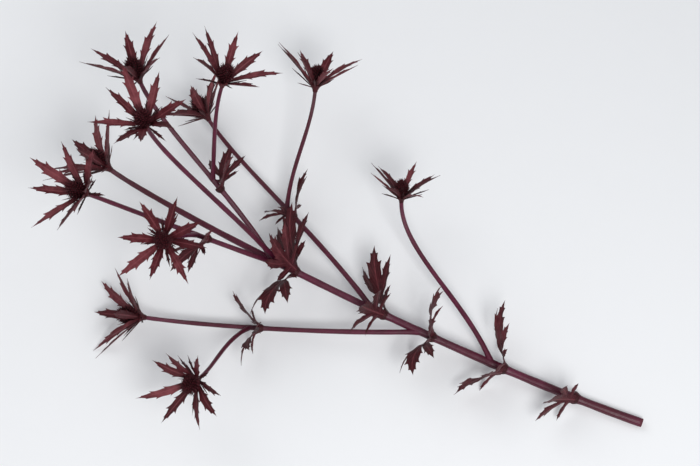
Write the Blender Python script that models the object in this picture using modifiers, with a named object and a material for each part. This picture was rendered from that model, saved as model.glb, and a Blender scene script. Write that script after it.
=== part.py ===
"""A cut stem of sea holly, dyed deep burgundy, lying on a flat surface.

One woody main stem forks into side stalks. Each stalk ends in a bloom: a ruff of
toothed spiny bracts on a small receptacle, with a dense prickly flower cone on it.
Whorls of hand-shaped toothed leaves clasp the stalks at the forks.

Metres, +Z up. +X runs from the cut end towards the top bloom. The origin is on the
surface that the stem lies on, under the middle of its bounding box.
"""

import math
import random

import bmesh
import bpy
from mathutils import Matrix, Vector

# Where the cut end of the main stem lies, and how thick the stem is.
FOOT = Vector((-0.3054, 0.0048, 0.0042))
FOOT_DIRECTION = Vector((1.0, 0.10, 0.055)).normalized()
FOOT_RADIUS = 0.0042
STALK_END_GAP = 0.0005
# A side stalk leaves its parent at between these angles.
FORK_ANGLES = (math.radians(26), math.radians(48))
FORK_OPENING = 1.2
# A stalk turns towards its bloom's facing over about this length.
UPTURN = 0.050

# Each stalk: parent, share of the parent's length where it leaves, and its bloom's
# place (x, y, z, from the cut end), facing (yaw and pitch in degrees), size and seed.
# The two blooms whose height is None are set down until their lowest bract touches.
STALKS = {
    "top": (None, 0.00, (0.560, 0.004, 0.080), (-4, 32), 1.04, 2),
    "left": ("top", 0.335, (0.474, 0.112, None), (26, 26), 1.00, 2),
    "left_side": ("left", 0.545, (0.386, 0.158, 0.066), (80, 40), 0.92, 3),
    "right": ("top", 0.408, (0.512, -0.106, None), (-30, 24), 0.98, 4),
    "right_side": ("right", 0.460, (0.418, -0.166, 0.068), (-72, 38), 0.92, 2),
    "upper_left": ("top", 0.548, (0.538, 0.066, 0.158), (38, 56), 0.98, 2),
    "upper_left_side": ("upper_left", 0.410, (0.450, 0.078, 0.160), (118, 64), 0.90, 2),
    "upper_right": ("top", 0.570, (0.552, -0.064, 0.150), (-34, 54), 0.96, 2),
    "upper_right_side": ("upper_right", 0.410, (0.472, -0.086, 0.166), (-104, 62), 0.90, 2),
    "crown": ("top", 0.558, (0.504, 0.000, 0.206), (10, 84), 0.94, 2),
    "low_side": ("top", 0.230, (0.292, -0.092, 0.066), (-66, 46), 0.80, 11),
}
STALK_RADII = {None: (FOOT_RADIUS, 0.0023), "top": (0.0026, 0.0020)}
SIDE_STALK_RADII = (0.0021, 0.0018)
POINTS_PER_METRE = 62
MAIN_BEVEL_RESOLUTION = 2
STALK_BEVEL_RESOLUTION = 1

# Whorls of leaves: stalk, share of its length, where each leaf stands round the stalk
# (degrees, 0 on its left and 90 above it), leaf length and seed.
WHORLS = {
    "whorl_foot": ("top", 0.105, (62,), 0.054, 1),
    "whorl_low": ("top", 0.212, (148, 28), 0.062, 21),
    "whorl_left": ("top", 0.318, (24, 108), 0.064, 22),
    "whorl_right": ("top", 0.390, (158, 74), 0.060, 23),
    "whorl_crown": ("top", 0.530, (18, 92, 164), 0.062, 24),
    "whorl_left_fork": ("left", 0.510, (38, 128), 0.046, 24),
    "whorl_right_fork": ("right", 0.425, (160, 60), 0.044, 1),
    "whorl_upper_left_fork": ("upper_left", 0.360, (-20, 60), 0.042, 25),
    "whorl_upper_right_fork": ("upper_right", 0.360, (200, 120), 0.042, 25),
}
COLLAR_WALL = 0.0019
COLLAR_LENGTH = 0.0046
COLLAR_SIDES = 12
COLLAR_CLEARANCE = 0.00035

# A bloom of size 1.
RECEPTACLE_RADIUS = 0.0060
RECEPTACLE_FOOT = 0.0027
RECEPTACLE_DEPTH = 0.0060
RECEPTACLE_SIDES = 10
LARGE_BRACTS = 8
SMALL_BRACTS = 8
LARGE_LENGTH = 0.057
LARGE_WIDTH = 0.0080
SMALL_LENGTH = 0.028
SMALL_RADIUS = 0.0010
BLADE_THICKNESS = 0.0007
TOOTH_REACH = 0.0020
STAGGER = 0.07
WIDEST = 0.60
CLAW = 0.36
ROOT_RADIUS = 0.0024
CONE_RADIUS = 0.0079
CONE_HEIGHT = 0.0200
CONE_LIFT = 0.0005
CONE_SPIKE = 0.0017

# Where the pairs of teeth stand along a blade, as shares of its length.
BRACT_TEETH = (0.43, 0.67)
LOBE_TEETH = (0.50, 0.72)
SIDE_LOBE_TEETH = ((), (0.55,))
# A tooth's base runs from TOOTH_FOOT of the length before it to TOOTH_BACK after it, and
# its tip leans forwards past the base by TOOTH_LEAN.
TOOTH_FOOT = 0.085
TOOTH_BACK = 0.02
TOOTH_LEAN = 0.0026

# A leaf: widths and teeth as shares of a lobe's length, where the side lobes join the
# middle one, and each pair's spread in degrees with its length over the middle lobe's.
# A leaf at the side of a lying stalk rolls by LEAF_ROLL degrees to lie flatter.
LEAF_WIDTH = 0.22
LEAF_TOOTH = 0.050
LEAF_ROLL = 70
LOBE_WIDTH = 0.24
LOBE_TOOTH = 0.055
LOBE_JOINS = (0.08, 0.19, 0.33)
LOBE_SPREADS = ((74, 0.38), (42, 0.58))
LOBE_BEND = 0.7

COLOURS = {
    "stalk": ((0.110, 0.010, 0.028, 1.0), 0.38),
    "bract": ((0.098, 0.011, 0.017, 1.0), 0.55),
    "leaf": ((0.072, 0.009, 0.014, 1.0), 0.55),
    "cone": ((0.022, 0.003, 0.005, 1.0), 0.70),
}


def turned(vector, axis, degrees):
    """The vector turned about an axis by the right-hand rule."""
    return Matrix.Rotation(math.radians(degrees), 3, axis) @ vector


def facing(yaw, pitch):
    """Unit vector from a compass yaw about +Z and a pitch above the surface."""
    yaw, pitch = math.radians(yaw), math.radians(pitch)
    return Vector((math.cos(pitch) * math.cos(yaw), math.cos(pitch) * math.sin(yaw), math.sin(pitch)))


def across(axis):
    """Two unit vectors square to an axis and to each other, the first level where it can be."""
    level = Vector((0, 0, 1)).cross(axis)
    level = level.normalized() if level.length > 0.05 else Vector((0, 1, 0))
    return level, axis.cross(level).normalized()


def half_width(share):
    """A blade's half width over its largest half width: a narrow claw, widest past the middle, then a point."""
    if share < WIDEST:
        return CLAW + (1 - CLAW) * math.sin(math.pi / 2 * share / WIDEST) ** 1.7
    return math.cos(math.pi / 2 * (share - WIDEST) / (1 - WIDEST)) ** 1.15


class Blade:
    """The line and outline of one bract or leaf lobe.

    The line starts at root along outward, lifted by lift_root degrees towards up, and its
    lift changes evenly to lift_tip, so it is a circular arc that sways to one side.
    """

    def __init__(self, root, outward, up, length, width, lifts, sway, twist, teeth, tooth, stagger=0.0, joins=()):
        self.root, self.outward, self.up = root, outward.normalized(), up.normalized()
        self.length, self.width, self.lifts = length, width, lifts
        self.sway, self.twist, self.teeth, self.tooth = sway, twist, teeth, tooth
        self.stagger, self.joins = stagger, joins

    def frame(self, share):
        """Point, side direction and face direction at a share of the length."""
        first, last = (math.radians(lift) for lift in self.lifts)
        bend = last - first if abs(last - first) > 1e-4 else 1e-4
        lift = first + bend * share
        along = self.length * (math.sin(lift) - math.sin(first)) / bend
        rise = self.length * (math.cos(first) - math.cos(lift)) / bend
        side = self.up.cross(self.outward)
        point = self.root + self.outward * along + self.up * rise
        point += side * (self.sway * self.length * share**2)
        tangent = self.outward * math.cos(lift) + self.up * math.sin(lift)
        tangent = (tangent + side * (2 * self.sway * share)).normalized()
        face = turned(tangent.cross(side).normalized(), tangent, self.twist * share * (2 - share))
        return point, face.cross(tangent).normalized(), face, tangent

    def stations(self):
        """Left and right edge points from the root to the tip: the foot row and the notch row of each tooth."""
        rows = [self.edge(share, 0.0, 0.0) for share in (0.0, *self.joins)]
        for share in self.teeth:
            rows.append(self.staggered(share - TOOTH_FOOT, 0.0, 0.0))
            rows.append(self.staggered(share + TOOTH_BACK, 0.0, 0.0))
        return rows

    def tooth_tips(self):
        """Left and right tooth tips from the root to the tip."""
        return [self.staggered(share, self.tooth, TOOTH_LEAN) for share in self.teeth]

    def staggered(self, share, reach, lean):
        """Left and right edge points of one row, the right one further on by the stagger."""
        left, right = share - self.stagger / 2, share + self.stagger / 2
        return self.edge(left, reach, lean)[0], self.edge(right, reach, lean)[1]

    def edge(self, share, reach, lean):
        """Left and right edge points at a share of the length, pushed outwards by reach and onwards by lean."""
        point, side, _, tangent = self.frame(share)
        out = half_width(share) * self.width / 2 + reach
        return point + side * out + tangent * lean, point - side * out + tangent * lean

    def tip(self):
        return self.frame(1.0)[0]


def strip(mesh, blade, first=None):
    """Adds a blade's outline to a sheet as rows of triangles, from its own first row or from a given one."""
    rows = [[mesh.verts.new(p) for p in pair] for pair in blade.stations()[1 if first else 0:]]
    if first:
        rows.insert(0, first)
    for (left, right), (next_left, next_right) in zip(rows, rows[1:]):
        mesh.faces.new((left, right, next_right))
        mesh.faces.new((left, next_right, next_left))
    mesh.faces.new((*rows[-1], mesh.verts.new(blade.tip())))
    plain = len(rows) - 2 * len(blade.teeth)
    for number, tips in enumerate(blade.tooth_tips()):
        foot, notch = rows[plain + 2 * number: plain + 2 * number + 2]
        mesh.faces.new((foot[0], notch[0], mesh.verts.new(tips[0])))
        mesh.faces.new((foot[1], mesh.verts.new(tips[1]), notch[1]))
    return rows


def thickened(mesh, name):
    """A flat or curved sheet made a closed solid by Solidify."""
    made = linked(mesh, name)
    thickness = made.modifiers.new("thickness", "SOLIDIFY")
    thickness.thickness = BLADE_THICKNESS
    thickness.offset = 0.0
    return applied(made)


def bract_mesh(blade):
    mesh = bmesh.new()
    strip(mesh, blade)
    return thickened(mesh, "bract")


def linked(mesh, name):
    """A new object from a bmesh."""
    data = bpy.data.meshes.new(name)
    mesh.normal_update()
    mesh.to_mesh(data)
    mesh.free()
    made = bpy.data.objects.new(name, data)
    bpy.context.scene.collection.objects.link(made)
    return made


def applied(made):
    """The object with its modifiers or its curve turned into a plain closed mesh."""
    bpy.context.view_layer.update()
    graph = bpy.context.evaluated_depsgraph_get()
    data = bpy.data.meshes.new_from_object(made.evaluated_get(graph))
    mesh = bmesh.new()
    mesh.from_mesh(data)
    mesh.transform(made.matrix_world)
    bmesh.ops.remove_doubles(mesh, verts=mesh.verts, dist=1e-6)
    bmesh.ops.recalc_face_normals(mesh, faces=mesh.faces)
    name = made.name
    bpy.data.objects.remove(made)
    return linked(mesh, name)


def fused(body, pieces, name):
    """One solid from a body and the pieces rooted in it, by one Boolean union."""
    group = bpy.data.collections.new("rooted")
    bpy.context.scene.collection.children.link(group)
    for piece in pieces:
        bpy.context.scene.collection.objects.unlink(piece)
        group.objects.link(piece)
    union = body.modifiers.new("union", "BOOLEAN")
    union.operation = "UNION"
    union.operand_type = "COLLECTION"
    union.collection = group
    union.solver = "EXACT"
    body.name = name
    made = applied(body)
    for piece in pieces:
        bpy.data.objects.remove(piece)
    bpy.data.collections.remove(group)
    made.name = name
    return made


def cone_between(start, end, radius_start, radius_end, sides, name):
    """A closed cone or frustum from start to end."""
    mesh = bmesh.new()
    along = end - start
    place = Matrix.Translation((start + end) / 2) @ along.to_track_quat("Z", "Y").to_matrix().to_4x4()
    bmesh.ops.create_cone(
        mesh, cap_ends=True, cap_tris=True, segments=sides, radius1=radius_start,
        radius2=radius_end, depth=along.length, matrix=place,
    )
    if radius_end == 0:
        bmesh.ops.remove_doubles(mesh, verts=mesh.verts, dist=1e-7)
    return linked(mesh, name)


class Bloom:
    """One bloom: its base on the receptacle's top, its axis, and its bracts drawn from its seed."""

    def __init__(self, base, axis, size, seed):
        self.base, self.axis, self.size = base, axis, size
        draw = random.Random(seed)
        self.first, self.second = across(axis)
        spin = draw.uniform(0, 360)
        self.large = [self.large_bract(draw, spin + 360 * i / LARGE_BRACTS) for i in range(LARGE_BRACTS)]
        self.small = [self.small_bract(draw, spin + 360 * (i + 0.5) / SMALL_BRACTS) for i in range(SMALL_BRACTS)]

    def outward(self, degrees):
        return turned(self.first, self.axis, degrees)

    def large_bract(self, draw, degrees):
        """A toothed bract. Every other one stands a little steeper and shorter, as in two whorls."""
        outward = self.outward(degrees + draw.uniform(-9, 9))
        steep = draw.uniform(-8, 8) + (14 if draw.random() < 0.4 else 0)
        lift_root = 38 + steep
        lift_tip = 26 + steep + draw.uniform(-16, 12)
        length = self.size * LARGE_LENGTH * draw.uniform(0.84, 1.10)
        width = self.size * LARGE_WIDTH * draw.uniform(0.88, 1.12)
        root = self.base + outward * (self.size * ROOT_RADIUS) - self.axis * (self.size * 0.0022)
        return Blade(
            root, outward, self.axis, length, width, (lift_root, lift_tip),
            draw.uniform(-0.10, 0.10), draw.uniform(-28, 28), BRACT_TEETH,
            self.size * TOOTH_REACH * draw.uniform(0.8, 1.3), draw.uniform(-STAGGER, STAGGER),
        )

    def small_bract(self, draw, degrees):
        """Start and end of a needle-like bract between two large ones."""
        outward = self.outward(degrees + draw.uniform(-8, 8))
        lift = math.radians(draw.uniform(8, 44))
        length = self.size * SMALL_LENGTH * draw.uniform(0.75, 1.2)
        start = self.base + outward * (self.size * 0.003) - self.axis * (self.size * 0.0032)
        return start, start + (outward * math.cos(lift) + self.axis * math.sin(lift)) * length

    def lowest(self):
        """Lowest point of the large bracts' outlines."""
        points = [blade.tip() for blade in self.large]
        for blade in self.large:
            points += [p for pair in blade.stations() + blade.tooth_tips() for p in pair]
        return min(p.z for p in points)

    def stalk_end(self):
        """Where the stalk stops, just under the receptacle."""
        return self.base - self.axis * (self.size * RECEPTACLE_DEPTH + STALK_END_GAP)

    def ruff(self, name):
        """Receptacle, toothed bracts and needle bracts, fused."""
        size = self.size
        cup = cone_between(
            self.base - self.axis * (size * RECEPTACLE_DEPTH), self.base,
            size * RECEPTACLE_FOOT, size * RECEPTACLE_RADIUS, RECEPTACLE_SIDES, "receptacle",
        )
        pieces = [bract_mesh(blade) for blade in self.large]
        for start, end in self.small:
            pieces.append(cone_between(start, end, size * SMALL_RADIUS, 0, 3, "needle"))
        return fused(cup, pieces, name)

    def cone(self, name):
        """The flower cone: an egg whose every facet is raised to a prickle."""
        mesh = bmesh.new()
        bmesh.ops.create_icosphere(mesh, subdivisions=2, radius=1.0)
        core = self.size * (CONE_RADIUS - CONE_SPIKE)
        half = self.size * (CONE_HEIGHT / 2 - CONE_SPIKE)
        middle = self.base + self.axis * (self.size * (CONE_LIFT + CONE_HEIGHT / 2))
        frame = Matrix((self.first, self.second, self.axis)).transposed()
        flat = list(mesh.faces)
        raised = bmesh.ops.poke(mesh, faces=flat, center_mode="MEAN")["verts"]
        tips = set(raised)
        for vert in mesh.verts:
            unit = vert.co.normalized()
            narrow = 1.0 - 0.16 * unit.z
            spike = self.size * CONE_SPIKE if vert in tips else 0.0
            vert.co = Vector((
                unit.x * (core * narrow + spike),
                unit.y * (core * narrow + spike),
                unit.z * (half + spike),
            ))
            vert.co = middle + frame @ vert.co
        return linked(mesh, name)


def bezier(points, share):
    """Point and direction on a cubic curve through four handles."""
    a, b, c, d = points
    rest = 1 - share
    point = a * rest**3 + b * (3 * rest**2 * share) + c * (3 * rest * share**2) + d * share**3
    slope = (b - a) * rest**2 + (c - b) * (2 * rest * share) + (d - c) * share**2
    return point, slope.normalized()


def fork(along, chord):
    """The direction in which a side stalk leaves: bent from its parent's direction towards its own bloom."""
    aside = (chord - along * chord.dot(along)).normalized()
    angle = min(max(FORK_OPENING * along.angle(chord), FORK_ANGLES[0]), FORK_ANGLES[1])
    return along * math.cos(angle) + aside * math.sin(angle)


def grow():
    """Every bloom, and the four handles and two radii of every stalk, by name."""
    blooms, curves, radii = {}, {}, {}
    for name, (parent, station, place, face, size, seed) in STALKS.items():
        axis = facing(*face)
        x, y, z = place
        base = FOOT + Vector((x, y, 0.0 if z is None else z - FOOT.z))
        bloom = Bloom(base, axis, size, seed)
        if z is None:
            bloom = Bloom(base - Vector((0, 0, bloom.lowest() - BLADE_THICKNESS / 2)), axis, size, seed)
        end = bloom.stalk_end()
        if parent is None:
            start, leaving = FOOT, FOOT_DIRECTION
        else:
            start, along = bezier(curves[parent], station)
            leaving = fork(along, end - start)
        reach = (end - start).length
        upturn = min(0.34 * reach, UPTURN)
        curves[name] = (start, start + leaving * (0.36 * reach), end - axis * upturn, end)
        radii[name] = STALK_RADII.get(parent, SIDE_STALK_RADII)
        blooms[name] = bloom
    return blooms, curves, radii


def tube(handles, ends, resolution, name):
    """A tapering round stalk along a cubic curve, as a closed mesh."""
    count = max(5, round((handles[3] - handles[0]).length * POINTS_PER_METRE))
    data = bpy.data.curves.new(name, "CURVE")
    data.dimensions = "3D"
    data.bevel_depth = 1.0
    data.bevel_resolution = resolution
    data.use_fill_caps = True
    spline = data.splines.new("POLY")
    spline.points.add(count)
    for i, point in enumerate(spline.points):
        share = i / count
        point.co = (*bezier(handles, share)[0], 1.0)
        point.radius = ends[0] + (ends[1] - ends[0]) * share
    made = bpy.data.objects.new(name, data)
    bpy.context.scene.collection.objects.link(made)
    return applied(made)


def stem(curves, radii, name):
    """The main stem with every side stalk fused to it."""
    tubes = []
    for stalk, handles in curves.items():
        resolution = MAIN_BEVEL_RESOLUTION if stalk == "top" else STALK_BEVEL_RESOLUTION
        tubes.append(tube(handles, radii[stalk], resolution, stalk))
    return fused(tubes[0], tubes[1:], name)


def radius_at(ends, share):
    return ends[0] + (ends[1] - ends[0]) * share


class Leaf:
    """One clasping leaf: a long toothed middle lobe with two pairs of lobes that spread from its foot."""

    def __init__(self, root, outward, axis, length, spin, draw):
        length *= draw.uniform(0.9, 1.08)
        lift = draw.uniform(30, 52)
        droop = lift - draw.uniform(25, 60)
        twist = draw.uniform(-14, 14) - LEAF_ROLL * math.cos(math.radians(spin))
        self.middle = Blade(
            root, outward, axis, length, length * LEAF_WIDTH, (lift, droop), draw.uniform(-0.08, 0.08),
            twist, LOBE_TEETH, length * LEAF_TOOTH, draw.uniform(-0.03, 0.03), LOBE_JOINS,
        )
        self.sides = []
        for pair, (spread, share) in enumerate(LOBE_SPREADS):
            for hand in (1, -1):
                turn = hand * (spread + draw.uniform(-7, 7))
                reach = length * share * draw.uniform(0.88, 1.1)
                teeth = SIDE_LOBE_TEETH[pair]
                self.sides.append((pair, hand, turn, reach, droop - lift, draw.uniform(-12, 12), teeth))

    def lobes(self):
        """The side lobes as blades, each with the edge of the middle lobe that it grows from."""
        made = []
        for pair, hand, turn, reach, bend, twist, teeth in self.sides:
            lower, upper = LOBE_JOINS[pair], LOBE_JOINS[pair + 1]
            side = 0 if hand > 0 else 1
            foot = (self.middle.edge(lower, 0, 0)[side] + self.middle.edge(upper, 0, 0)[side]) / 2
            _, _, face, tangent = self.middle.frame((lower + upper) / 2)
            lobe = Blade(
                foot, turned(tangent, face, turn), face, reach, reach * LOBE_WIDTH,
                (2.0, bend * LOBE_BEND), -0.10 * hand, twist, teeth, reach * LOBE_TOOTH,
            )
            made.append((pair, hand, lobe))
        return made

    def mesh(self):
        """The whole leaf as one sheet, made solid."""
        mesh = bmesh.new()
        rows = strip(mesh, self.middle)
        for pair, hand, lobe in self.lobes():
            side = 0 if hand > 0 else 1
            edge = [rows[pair + 1][side], rows[pair + 2][side]]
            strip(mesh, lobe, edge if hand > 0 else edge[::-1])
        return thickened(mesh, "leaf")


def whorl(curves, radii, name):
    """A collar round the stalk, with its leaves fused to it."""
    stalk, station, spins, length, seed = WHORLS[name]
    draw = random.Random(seed)
    point, axis = bezier(curves[stalk], station)
    inner = (radius_at(radii[stalk], station) + COLLAR_CLEARANCE) / math.cos(math.pi / COLLAR_SIDES)
    outer = inner + COLLAR_WALL
    collar = ring(point, axis, inner, outer, "collar")
    first, _ = across(axis)
    pieces = []
    for spin in spins:
        spin += draw.uniform(-10, 10)
        outward = turned(first, axis, spin)
        root = point + outward * ((inner + outer) / 2)
        pieces.append(Leaf(root, outward, axis, length, spin, draw).mesh())
    return fused(collar, pieces, name)


def ring(point, axis, inner, outer, name):
    """A short tube round a stalk, turned from its square section by a Screw modifier."""
    half = COLLAR_LENGTH / 2
    section = [(outer, half), (outer, -half), (inner, -half), (inner, half)]
    data = bpy.data.meshes.new(name)
    data.from_pydata([(r, 0, z) for r, z in section], [(0, 1), (1, 2), (2, 3), (3, 0)], [])
    made = bpy.data.objects.new(name, data)
    bpy.context.scene.collection.objects.link(made)
    spun = made.modifiers.new("turned", "SCREW")
    spun.steps = spun.render_steps = COLLAR_SIDES
    spun.use_merge_vertices = True
    spun.merge_threshold = 0.00001
    made.matrix_world = Matrix.Translation(point) @ axis.to_track_quat("Z", "Y").to_matrix().to_4x4()
    return applied(made)


def painted(made, kind, collection):
    """The finished node: its dye, its smooth shading and its place in the stem's collection."""
    colour, roughness = COLOURS[kind]
    material = bpy.data.materials.get(kind) or bpy.data.materials.new(kind)
    material.use_nodes = True
    shader = material.node_tree.nodes["Principled BSDF"]
    shader.inputs["Base Color"].default_value = colour
    shader.inputs["Roughness"].default_value = roughness
    shader.inputs["Metallic"].default_value = 0.0
    made.data.materials.append(material)
    made.data.shade_smooth()
    made.data.set_sharp_from_angle(angle=math.radians(35))
    bpy.context.scene.collection.objects.unlink(made)
    collection.objects.link(made)


def main():
    for old in list(bpy.data.objects):
        bpy.data.objects.remove(old)
    collection = bpy.data.collections.new("sea_holly_stem")
    bpy.context.scene.collection.children.link(collection)
    blooms, curves, radii = grow()
    painted(stem(curves, radii, "stem"), "stalk", collection)
    for name in WHORLS:
        painted(whorl(curves, radii, name), "leaf", collection)
    for name, bloom in blooms.items():
        painted(bloom.ruff("ruff_" + name), "bract", collection)
        painted(bloom.cone("cone_" + name), "cone", collection)


main()
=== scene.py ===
"""A cut stem of sea holly, dyed deep burgundy, lying on a pale surface.

The stem grows here by the same rule as its solids do: a table of stalks and blooms, a
table of leaf whorls, and a seed for each. The surfaces are finer: bracts and leaves with
spiny teeth, a trough and raised veins, cones of small prickly florets, ribbed stalks.
"""

import math
import random

import bpy
import numpy as np
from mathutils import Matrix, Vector


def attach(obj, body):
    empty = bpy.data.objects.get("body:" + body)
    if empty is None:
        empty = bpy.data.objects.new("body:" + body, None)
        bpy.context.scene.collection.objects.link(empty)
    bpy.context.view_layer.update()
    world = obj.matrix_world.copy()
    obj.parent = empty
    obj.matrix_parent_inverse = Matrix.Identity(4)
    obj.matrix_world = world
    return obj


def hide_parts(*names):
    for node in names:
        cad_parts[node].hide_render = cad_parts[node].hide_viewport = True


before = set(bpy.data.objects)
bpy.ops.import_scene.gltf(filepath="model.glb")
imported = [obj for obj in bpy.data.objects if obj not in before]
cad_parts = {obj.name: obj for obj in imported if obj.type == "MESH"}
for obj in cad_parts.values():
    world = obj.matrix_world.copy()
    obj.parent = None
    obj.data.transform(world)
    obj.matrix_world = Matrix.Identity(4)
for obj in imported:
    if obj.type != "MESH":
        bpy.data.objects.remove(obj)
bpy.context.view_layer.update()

# Where the cut end of the main stem lies, and how stalks fork, in metres, as in the solids.
FOOT = np.array([-0.3054, 0.0048, 0.0042])
FOOT_DIRECTION = np.array([1.0, 0.10, 0.055])
STALK_END_GAP = 0.0005
# A side stalk leaves its parent at between these angles.
FORK_ANGLES = (math.radians(26), math.radians(48))
FORK_OPENING = 1.2
# The lengths of a stalk's two curve handles over its reach, the second one never past UPTURN.
LEAVING_HANDLE = 0.36
ARRIVING_HANDLE = 0.34
UPTURN = 0.050

# Each stalk: parent, share of the parent's length where it leaves, and its bloom's
# place (x, y, z, from the cut end), facing (yaw and pitch in degrees), size and seed.
# The two blooms whose height is None are set down until their lowest bract touches.
STALKS = {
    "top": (None, 0.00, (0.560, 0.004, 0.080), (-4, 32), 1.04, 2),
    "left": ("top", 0.335, (0.474, 0.112, None), (26, 26), 1.00, 2),
    "left_side": ("left", 0.545, (0.386, 0.158, 0.066), (80, 40), 0.92, 3),
    "right": ("top", 0.408, (0.512, -0.106, None), (-30, 24), 0.98, 4),
    "right_side": ("right", 0.460, (0.418, -0.166, 0.068), (-72, 38), 0.92, 2),
    "upper_left": ("top", 0.548, (0.538, 0.066, 0.158), (38, 56), 0.98, 2),
    "upper_left_side": ("upper_left", 0.410, (0.450, 0.078, 0.160), (118, 64), 0.90, 2),
    "upper_right": ("top", 0.570, (0.552, -0.064, 0.150), (-34, 54), 0.96, 2),
    "upper_right_side": ("upper_right", 0.410, (0.472, -0.086, 0.166), (-104, 62), 0.90, 2),
    "crown": ("top", 0.558, (0.504, 0.000, 0.206), (10, 84), 0.94, 2),
    "low_side": ("top", 0.230, (0.292, -0.092, 0.066), (-66, 46), 0.80, 11),
}
# Radii at a stalk's foot and end, by the parent that it leaves.
STALK_RADII = {None: (0.0042, 0.0023), "top": (0.0026, 0.0020)}
SIDE_STALK_RADII = (0.0021, 0.0018)

# Whorls of leaves: stalk, share of its length, where each leaf stands round the stalk
# (degrees, 0 on its left and 90 above it), leaf length and seed.
WHORLS = {
    "whorl_foot": ("top", 0.105, (62,), 0.054, 1),
    "whorl_low": ("top", 0.212, (148, 28), 0.062, 21),
    "whorl_left": ("top", 0.318, (24, 108), 0.064, 22),
    "whorl_right": ("top", 0.390, (158, 74), 0.060, 23),
    "whorl_crown": ("top", 0.530, (18, 92, 164), 0.062, 24),
    "whorl_left_fork": ("left", 0.510, (38, 128), 0.046, 24),
    "whorl_right_fork": ("right", 0.425, (160, 60), 0.044, 1),
    "whorl_upper_left_fork": ("upper_left", 0.360, (-20, 60), 0.042, 25),
    "whorl_upper_right_fork": ("upper_right", 0.360, (200, 120), 0.042, 25),
}
COLLAR_WALL = 0.0019
COLLAR_SIDES = 12
COLLAR_CLEARANCE = 0.00035

# A bloom of size 1: its receptacle, large and small bracts, and cone.
RECEPTACLE_DEPTH = 0.0060
LARGE_BRACTS = 8
LARGE_LENGTH = 0.057
LARGE_WIDTH = 0.0080
LARGE_LIFTS = (38, 26)
STEEP_PART = 0.4
STEEP_LIFT = 14
ROOT_RADIUS = 0.0024
ROOT_DEPTH = 0.0022
SMALL_BRACTS = 8
SMALL_LENGTH = 0.028
SMALL_WIDTH = 0.0027
SMALL_ROOT_RADIUS = 0.003
SMALL_ROOT_DEPTH = 0.0032
SMALL_TEETH = (0.40, 0.66)
SMALL_TOOTH = 0.0011
SMALL_TOOTH_LEAN = 0.0016
BLADE_THICKNESS = 0.0007
TOOTH_REACH = 0.0020
STAGGER = 0.07
CONE_RADIUS = 0.0079
CONE_HEIGHT = 0.0200
CONE_LIFT = 0.0005
CONE_SPIKE = 0.0017

# The solids' blade outline: its claw's width and its widest place, as shares.
CLAW = 0.36
WIDEST = 0.60
# Where the pairs of teeth stand along a blade, as shares of its length.
BRACT_TEETH = (0.43, 0.67)
LOBE_TEETH = (0.50, 0.72)
SIDE_LOBE_TEETH = ((), (0.55,))
# A tooth's base runs from TOOTH_FOOT of the length before it to TOOTH_BACK after it, and
# its tip leans forwards past the base by TOOTH_LEAN.
TOOTH_FOOT = 0.085
TOOTH_BACK = 0.02
TOOTH_LEAN = 0.0026

# A leaf: widths and teeth as shares of a lobe's length, where the side lobes join the
# middle one, and each pair's spread in degrees with its length over the middle lobe's.
# A leaf at the side of a lying stalk rolls by LEAF_ROLL degrees to lie flatter.
LEAF_WIDTH = 0.22
LEAF_TOOTH = 0.050
LEAF_ROLL = 70
LOBE_WIDTH = 0.24
LOBE_TOOTH = 0.055
LOBE_JOINS = (0.08, 0.19, 0.33)
LOBE_SPREADS = ((74, 0.38), (42, 0.58))
LOBE_FIRST_LIFT = 2.0
LOBE_BEND = 0.7
LOBE_SWAY = -0.10

# The finer outline of a blade: its widest place, its rise and fall, and its half width at the point.
FINE_WIDEST = 0.52
FINE_RISE = 1.5
FINE_FALL = 1.35
POINT_HALF_WIDTH = 0.00004
# Shares sampled near the point, and down the slope of each tooth as parts of its foot and back.
NEAR_POINT = (0.90, 0.94, 0.97, 0.987)
TOOTH_SLOPE = (1.0, 0.62, 0.34, 0.14, 0.0)
TOOTH_NOTCH = (0.5, 1.0)

# The section of a blade: its sheet's thickness in metres, and, over its half width, the
# midrib's width and groove. The ridge below and the thinning at the edge are over the thickness.
SHEET_THICKNESS = 0.00055
MIDRIB_WIDTH = 0.16
MIDRIB_GROOVE = 0.10
MIDRIB_RIDGE = 0.55
EDGE_THINNING = 0.78
# The section fades over this last share. Ripples and a lobe's own outline come in over the first one.
POINT_FADE = 0.25
JOIN_BLEND = 0.30
JOIN_DEPTH = 0.0011

# A receptacle of size 1, from its neck to its top: radius, part of its depth below the
# bloom's base, and height past that.
RECEPTACLE_OUTLINE = (
    (0.0002, 1, -0.0022), (0.0022, 1, -0.0022), (0.0026, 1, -0.0014), (0.0028, 1, 0),
    (0.0033, 0.82, 0), (0.0042, 0.55, 0), (0.0053, 0.28, 0), (0.0059, 0.10, 0),
    (0.0053, 0, 0.0002), (0.0030, 0, 0.0004), (0.0002, 0, 0.0004),
)
# The bristle bracts between the ruff and the cone.
SPINES = 14
SPINE_LENGTHS = (0.013, 0.022)
SPINE_WIDTH = 0.0013
SPINE_ROOT_RADIUS = 0.0042
SPINE_ROOT_DEPTH = 0.0012

# The florets of a cone, and the bristles of each one, for size 1.
FLORETS = 120
GOLDEN_ANGLE = math.radians(137.508)
CONE_NARROWING = 0.16
FLORET_SINK = 0.90
FLORET_LENGTHS = (0.0030, 0.0044)
FLORET_RADIUS = 0.00094
FLORET_BELLY = 0.80
BRISTLES = 3
BRISTLE_OFFSET = 0.00055
BRISTLE_LENGTHS = (0.0040, 0.0062)
BRISTLE_RADIUS = 0.00030
BRISTLE_BELLY = 0.2

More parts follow.
